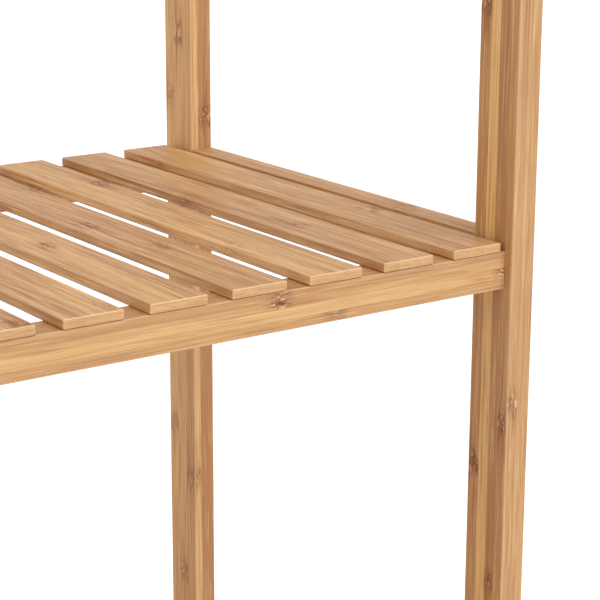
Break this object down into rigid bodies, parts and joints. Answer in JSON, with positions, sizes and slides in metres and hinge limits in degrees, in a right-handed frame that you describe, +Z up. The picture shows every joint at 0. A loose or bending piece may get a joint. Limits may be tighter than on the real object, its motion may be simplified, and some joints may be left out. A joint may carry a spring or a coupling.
{
  "type": "towel rack",
  "caption": "Free-standing bamboo towel rack: ladder end frames joined by slatted shelves, with round towel bars across the top.",
  "frame": {"origin": "centre of the footprint, on the floor", "axes": "+X to the right along the shelves, +Y to the back, +Z up"},
  "size_m": [0.464, 0.333, 0.86],
  "materials": {
    "bamboo_frame": "satin oiled laminated bamboo, grain along the piece",
    "bamboo_rail": "satin oiled laminated bamboo, grain along the piece",
    "bamboo_slat": "satin oiled laminated bamboo, grain along the piece",
    "bamboo_bar": "satin oiled turned bamboo, grain along the bar",
    "dowel_wood": "raw beech",
    "zinc_steel": "bright zinc plate",
    "nut_brass": "dull machined",
    "brad_steel": "plain drawn wire",
    "glide_plastic": "matte off-white"
  },
  "bodies": {
    "root": {"post_front_left": "bamboo_frame", "post_front_right": "bamboo_frame", "post_back_left": "bamboo_frame", "post_back_right": "bamboo_frame", "lower_side_rail_left": "bamboo_frame", "lower_side_rail_right": "bamboo_frame", "upper_side_rail_left": "bamboo_frame", "upper_side_rail_right": "bamboo_frame", "top_side_rail_left": "bamboo_frame", "top_side_rail_right": "bamboo_frame", "lower_front_rail": "bamboo_rail", "lower_back_rail": "bamboo_rail", "upper_front_rail": "bamboo_rail", "upper_back_rail": "bamboo_rail", "lower_slat_01": "bamboo_slat", "lower_slat_02": "bamboo_slat", "lower_slat_03": "bamboo_slat", "lower_slat_04": "bamboo_slat", "lower_slat_05": "bamboo_slat", "lower_slat_06": "bamboo_slat", "lower_slat_07": "bamboo_slat", "lower_slat_08": "bamboo_slat", "lower_slat_09": "bamboo_slat", "lower_slat_10": "bamboo_slat", "upper_slat_01": "bamboo_slat", "upper_slat_02": "bamboo_slat", "upper_slat_03": "bamboo_slat", "upper_slat_04": "bamboo_slat", "upper_slat_05": "bamboo_slat", "upper_slat_06": "bamboo_slat", "upper_slat_07": "bamboo_slat", "upper_slat_08": "bamboo_slat", "upper_slat_09": "bamboo_slat", "upper_slat_10": "bamboo_slat", "towel_bar_front": "bamboo_bar", "towel_bar_middle": "bamboo_bar", "towel_bar_back": "bamboo_bar", "foot_glide_front_left": "glide_plastic", "foot_glide_front_right": "glide_plastic", "foot_glide_back_left": "glide_plastic", "foot_glide_back_right": "glide_plastic", "rail_bolts": "zinc_steel", "barrel_nuts": "nut_brass", "side_rail_dowels": "dowel_wood", "bar_screws": "zinc_steel", "slat_brads": "brad_steel", "glide_nails": "brad_steel"}
  },
  "joints": []
}
